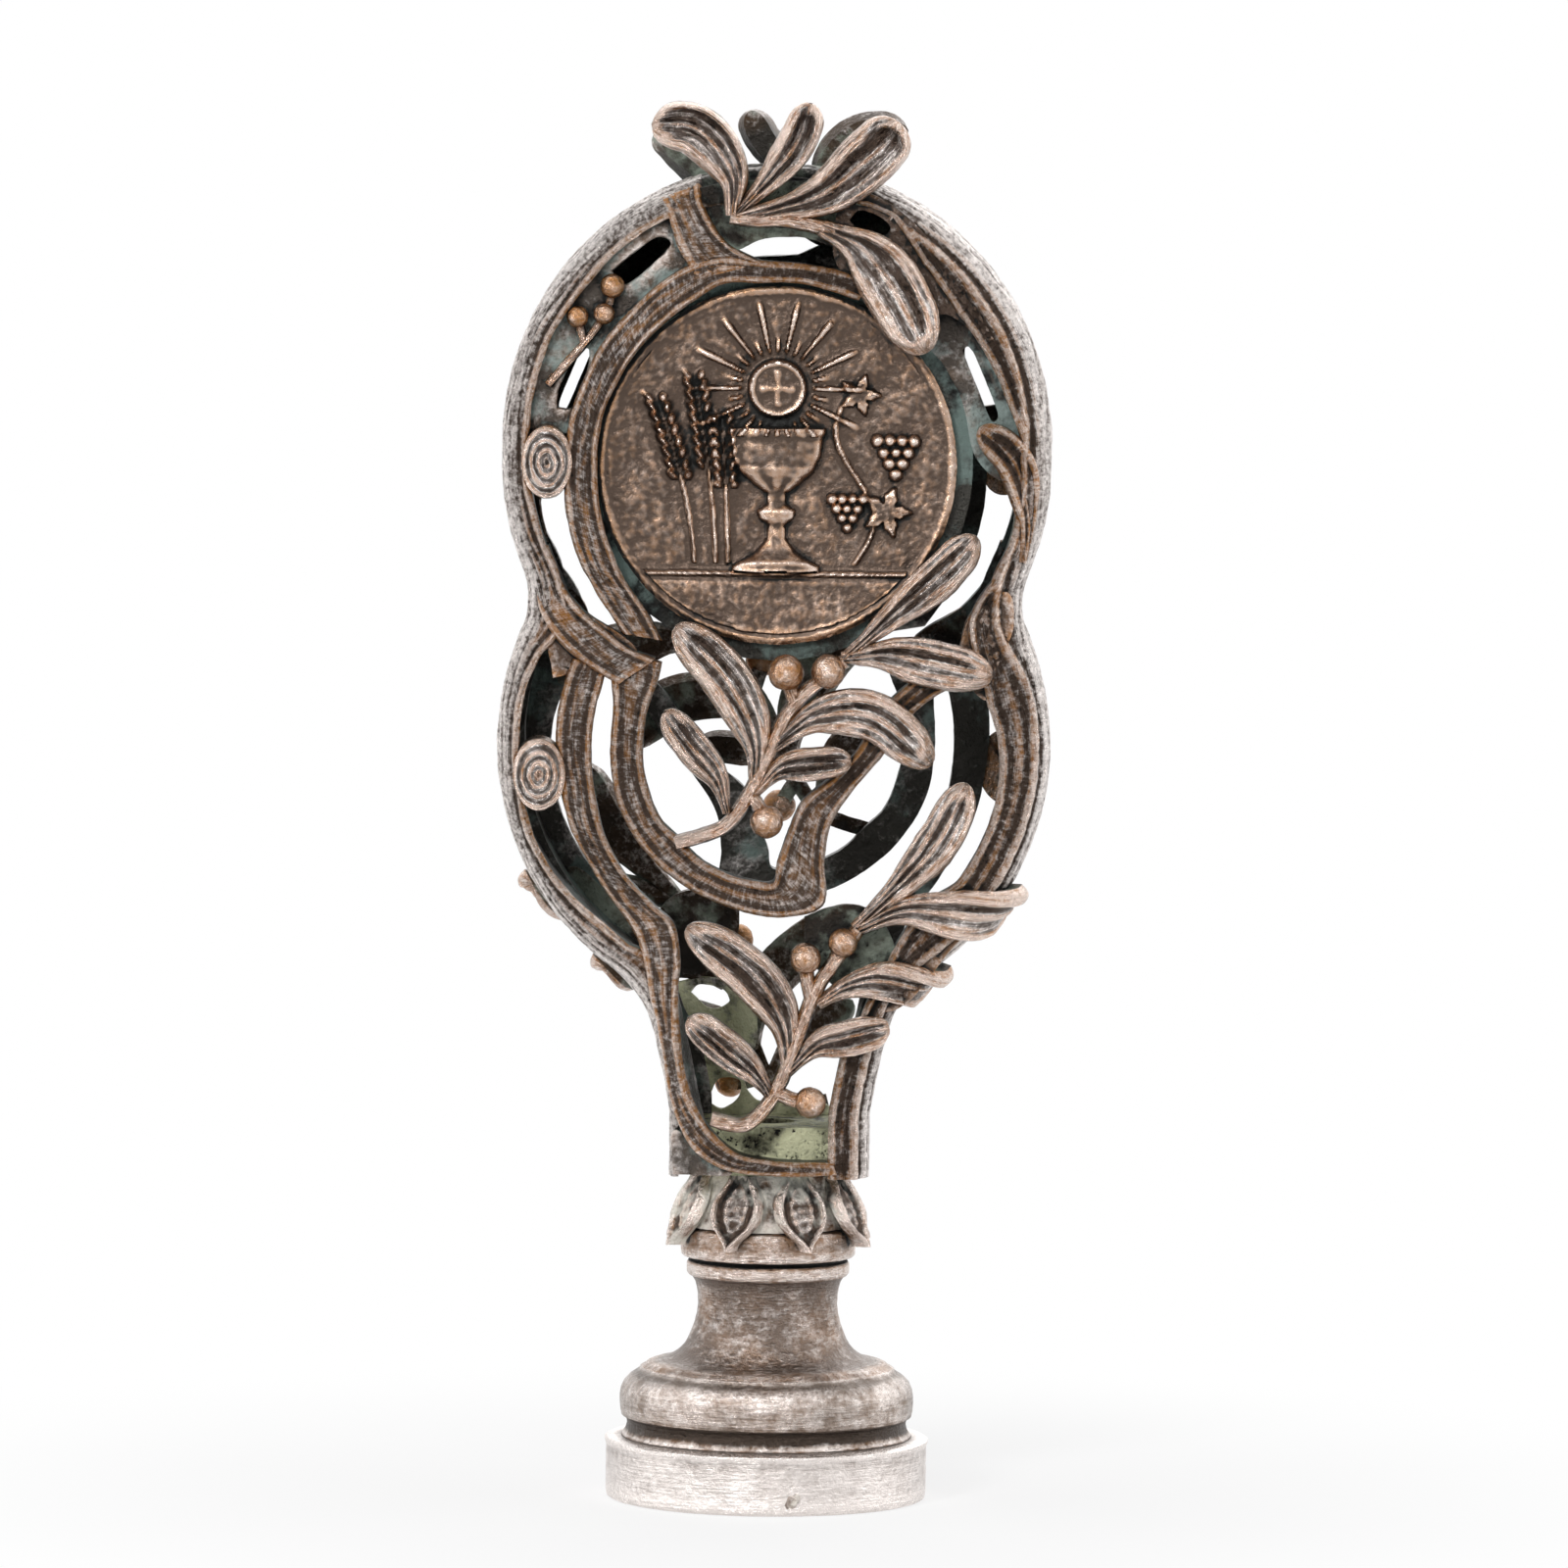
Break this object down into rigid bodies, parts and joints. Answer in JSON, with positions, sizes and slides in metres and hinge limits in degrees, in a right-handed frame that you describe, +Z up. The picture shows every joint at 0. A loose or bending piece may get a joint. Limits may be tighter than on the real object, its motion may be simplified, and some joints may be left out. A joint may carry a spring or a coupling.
{
  "type": "desk wax seal",
  "caption": "Antique silvered-bronze desk wax seal: turned foot, leaf collar and a hollow pierced handle of ring bands with mistletoe sprigs around a round medallion.",
  "frame": {"origin": "middle of the round resting face, at the bottom centre of the bounding box", "axes": "+Z up along the seal, -Y is the front with the medallion that the picture shows, +X to its right"},
  "size_m": [0.0342, 0.0202, 0.0872],
  "materials": {
    "silvered_base": "worn silver plate, turned",
    "cast_bronze": "worn silver plate over cast bronze",
    "leaf_bronze": "rubbed golden bronze crests",
    "struck_bronze": "dark struck bronze",
    "steel_rod": "plain"
  },
  "bodies": {
    "root": {"seal_matrix": "silvered_base", "baluster_stem": "silvered_base", "leaf_collar": "cast_bronze", "foot_plug": "cast_bronze", "threaded_stud": "steel_rod", "front_openwork": "cast_bronze", "front_medallion": "struck_bronze", "front_crown_sprig": "leaf_bronze", "front_middle_sprig": "leaf_bronze", "front_lower_sprig": "leaf_bronze", "front_berry_twig": "leaf_bronze", "back_openwork": "cast_bronze", "back_medallion": "struck_bronze", "back_crown_sprig": "leaf_bronze", "back_middle_sprig": "leaf_bronze", "back_lower_sprig": "leaf_bronze", "back_berry_twig": "leaf_bronze"}
  },
  "joints": []
}
